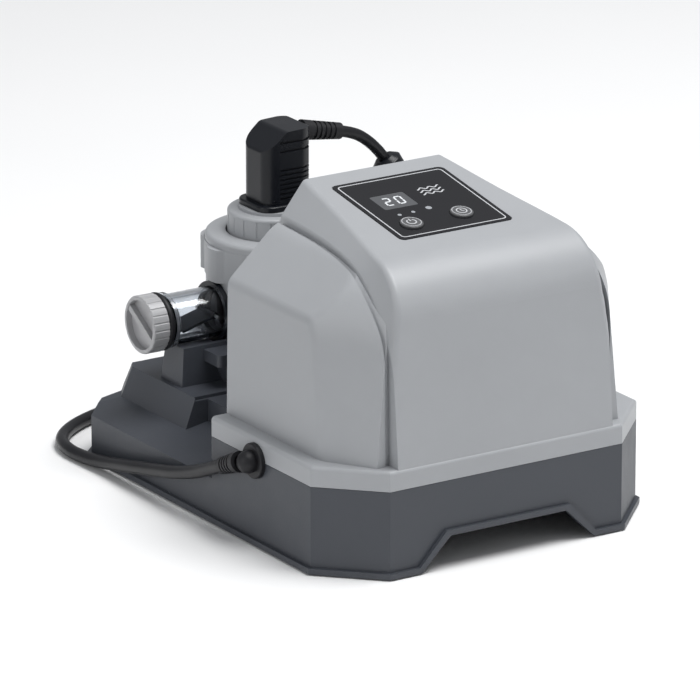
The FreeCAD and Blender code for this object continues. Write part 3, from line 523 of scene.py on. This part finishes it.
def panel_piece(name, mesh, body, material, lift=0.0):
    """Turns strokes drawn in the panel's plane into a piece that rides on a body."""
    bmesh.ops.recalc_face_normals(mesh, faces=mesh.faces)
    data = bpy.data.meshes.new(name)
    mesh.to_mesh(data)
    mesh.free()
    data.transform(panel @ Matrix.Translation((0, 0, lift)))
    piece = bpy.data.objects.new(name, data)
    bpy.context.scene.collection.objects.link(piece)
    dress(piece, material)
    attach(piece, body)
    print(name, "has", len(data.polygons), "faces")
    return piece


# %% [markdown]
# The ink is a light grey screen print, a few hundredths of a millimetre thick, with the slight mottle
# that a mesh leaves. The figures glow faintly, because they are lit from behind.

# %% Ink and glow
def ink(name, colour, glow):
    finish = Finish(name)
    mottle = finish.noise(1500, 2)
    colours = finish.mix(mottle, tint(*colour, 0.85), tint(*colour))
    return finish.shade(Base_Color=colours, Roughness=0.45 + mottle * 0.1, Emission_Color=colours,
                        Emission_Strength=glow)


white_ink = ink("white_ink", (0.55, 0.56, 0.58), 0.0)
figure_glow = ink("figure_glow", (0.62, 0.64, 0.66), 0.25)

# %% The frame line and the marks
LINE = 0.8 * MM
INK = 0.05 * MM
FRAME_HALF = 37.0 * MM
FRAME_CORNER = 2.5 * MM

drawing = bmesh.new()
inner = FRAME_HALF - FRAME_CORNER
outline = []
for turn, (x, y) in enumerate(((inner, inner), (-inner, inner), (-inner, -inner), (inner, -inner))):
    outline += arc((x, y), FRAME_CORNER, 90 * turn, 90 * turn + 90, 6)
stroke(drawing, outline, LINE, 0, INK, closed=True)
WAVE_SPOT = Vector((15, 17))
WAVE_HALF, WAVE_GAP, WAVE_WIDTH = 16, 3.6, 0.9 * MM
for row in range(3):
    steps = range(-WAVE_HALF, WAVE_HALF + 1)
    wave = [Vector((i / 2, math.sin(i * math.pi / 6) - WAVE_GAP * row)) for i in steps]
    stroke(drawing, [(WAVE_SPOT + point) * MM for point in wave], WAVE_WIDTH, 0, INK)
panel_piece("panel_print", drawing, "root", white_ink)

# %% [markdown]
# The figures are made of seven bars each, like any counter's. A small table says which bars are lit
# for each figure, and a loop lays them out, so another number is a change of one word. The bars lean
# a little.

# %% The lit figures
BARS = {
    "top": ((0, 2), (1, 2)), "middle": ((0, 1), (1, 1)), "bottom": ((0, 0), (1, 0)),
    "upper_left": ((0, 1), (0, 2)), "upper_right": ((1, 1), (1, 2)),
    "lower_left": ((0, 0), (0, 1)), "lower_right": ((1, 0), (1, 1)),
}
FIGURES = {
    "2": ["top", "upper_right", "middle", "lower_left", "bottom"],
    "0": ["top", "upper_left", "upper_right", "lower_left", "lower_right", "bottom"],
}
BAR_WIDE, BAR_TALL, BAR_WIDTH, BAR_GAP = 4.2 * MM, 4.6 * MM, 1.15 * MM, 0.35 * MM
FIRST_FIGURE, NEXT_FIGURE = 6.6 * MM, 8.4 * MM
LEAN = 0.08

window_low, window_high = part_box("display_window")
window_middle = panel.inverted() @ ((window_low + window_high) / 2)
counter = bmesh.new()
for place, figure in enumerate("20"):
    corner = Vector((window_middle.x - FIRST_FIGURE + place * NEXT_FIGURE, window_middle.y - BAR_TALL))
    for bar in FIGURES[figure]:
        ends = [corner + Vector((x * BAR_WIDE + y * BAR_TALL * LEAN, y * BAR_TALL)) for x, y in BARS[bar]]
        gap = (ends[1] - ends[0]).normalized() * BAR_GAP
        stroke(counter, [ends[0] + gap, ends[1] - gap], BAR_WIDTH, 0, INK)
WINDOW_DROP = -0.1 * MM
panel_piece("lit_figures", counter, "root", figure_glow, WINDOW_DROP)

# %% [markdown]
# ## Button marks
# Each button carries a printed symbol inside a thin ring: the common power sign, and a clock face for
# the timer. They ride on their own buttons, so they sink with a press.

# %% Button marks
BUTTON_TOP = 1.35 * MM
RING_RADIUS, RING_WIDTH = 5.9 * MM, 0.45 * MM
POWER_WIDTH, CLOCK_WIDTH = 0.8 * MM, 0.7 * MM
# Each arc has a start, an end and a number of steps. A closed ring leaves its last step to the closing bar
FULL_CIRCLE, POWER_ARC = (0, 345, 23), (125, 415, 20)


def button_spot(node):
    """A button's middle in the panel's plane."""
    low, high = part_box(node)
    spot = panel.inverted() @ ((low + high) / 2)
    return Vector((spot.x, spot.y))


symbols = {}
for node in ("power_button", "mode_button"):
    spot = button_spot(node)
    symbol = bmesh.new()
    stroke(symbol, arc(spot, RING_RADIUS, *FULL_CIRCLE), RING_WIDTH, 0, INK, closed=True)
    symbols[node] = (spot, symbol)
spot, symbol = symbols["power_button"]
stroke(symbol, arc(spot, 2.9 * MM, *POWER_ARC), POWER_WIDTH, 0, INK)
stroke(symbol, [spot + Vector((0, 0.8 * MM)), spot + Vector((0, 3.9 * MM))], POWER_WIDTH, 0, INK)
spot, symbol = symbols["mode_button"]
stroke(symbol, arc(spot, 3.2 * MM, *FULL_CIRCLE), CLOCK_WIDTH, 0, INK, closed=True)
hands = [spot + Vector((0, 2.1 * MM)), spot.copy(), spot + Vector((1.5 * MM, -0.9 * MM))]
stroke(symbol, hands, CLOCK_WIDTH, 0, INK)
for node, (spot, symbol) in symbols.items():
    panel_piece(node + "_mark", symbol, node, white_ink, BUTTON_TOP)

# %% [markdown]
# ## Floor and light
# A plain pale floor shows where the object stands. Three large, soft area lights do what a product
# studio does: a wide one above and in front for the top faces and the brow, one from the right for
# the front, and a weak one from the left that keeps the shaded side readable. A pale world fills the
# rest.

# %% Floor
FLOOR_HALF = 6.0
floor_mesh = bmesh.new()
bmesh.ops.create_grid(floor_mesh, x_segments=2, y_segments=2, size=FLOOR_HALF)
floor_data = bpy.data.meshes.new("floor")
floor_mesh.to_mesh(floor_data)
floor_mesh.free()
floor = bpy.data.objects.new("floor", floor_data)
bpy.context.scene.collection.objects.link(floor)
paper = Finish("floor_paper")
dress(floor, paper.shade(Base_Color=paper.mix(paper.noise(4), (0.87, 0.87, 0.87, 1), (0.9, 0.9, 0.9, 1)),
                         Roughness=0.7))


# %% Lights
def softbox(name, place, size, watts):
    data = bpy.data.lights.new(name, "AREA")
    data.shape = "DISK"
    data.size = size
    data.energy = watts
    light = bpy.data.objects.new(name, data)
    light.location = place
    light.rotation_mode = "QUATERNION"
    light.rotation_quaternion = (Vector(place) - AIM).to_track_quat("Z", "Y")
    bpy.context.scene.collection.objects.link(light)


softbox("overhead_light", (0.5, -0.5, 2.4), 1.8, 68)
softbox("right_light", (1.9, -2.4, 1.3), 1.4, 3)
softbox("left_light", (-2.6, -0.2, 1.1), 1.6, 14)
world = bpy.data.worlds.new("studio")
world.use_nodes = True
world.node_tree.nodes["Background"].inputs["Color"].default_value = (0.95, 0.97, 1.0, 1)
world.node_tree.nodes["Background"].inputs["Strength"].default_value = 0.36
bpy.context.scene.world = world
print("stage and lights are set")

# %% [markdown]
# ## Finishing

# %% Finish
bpy.context.view_layer.update()
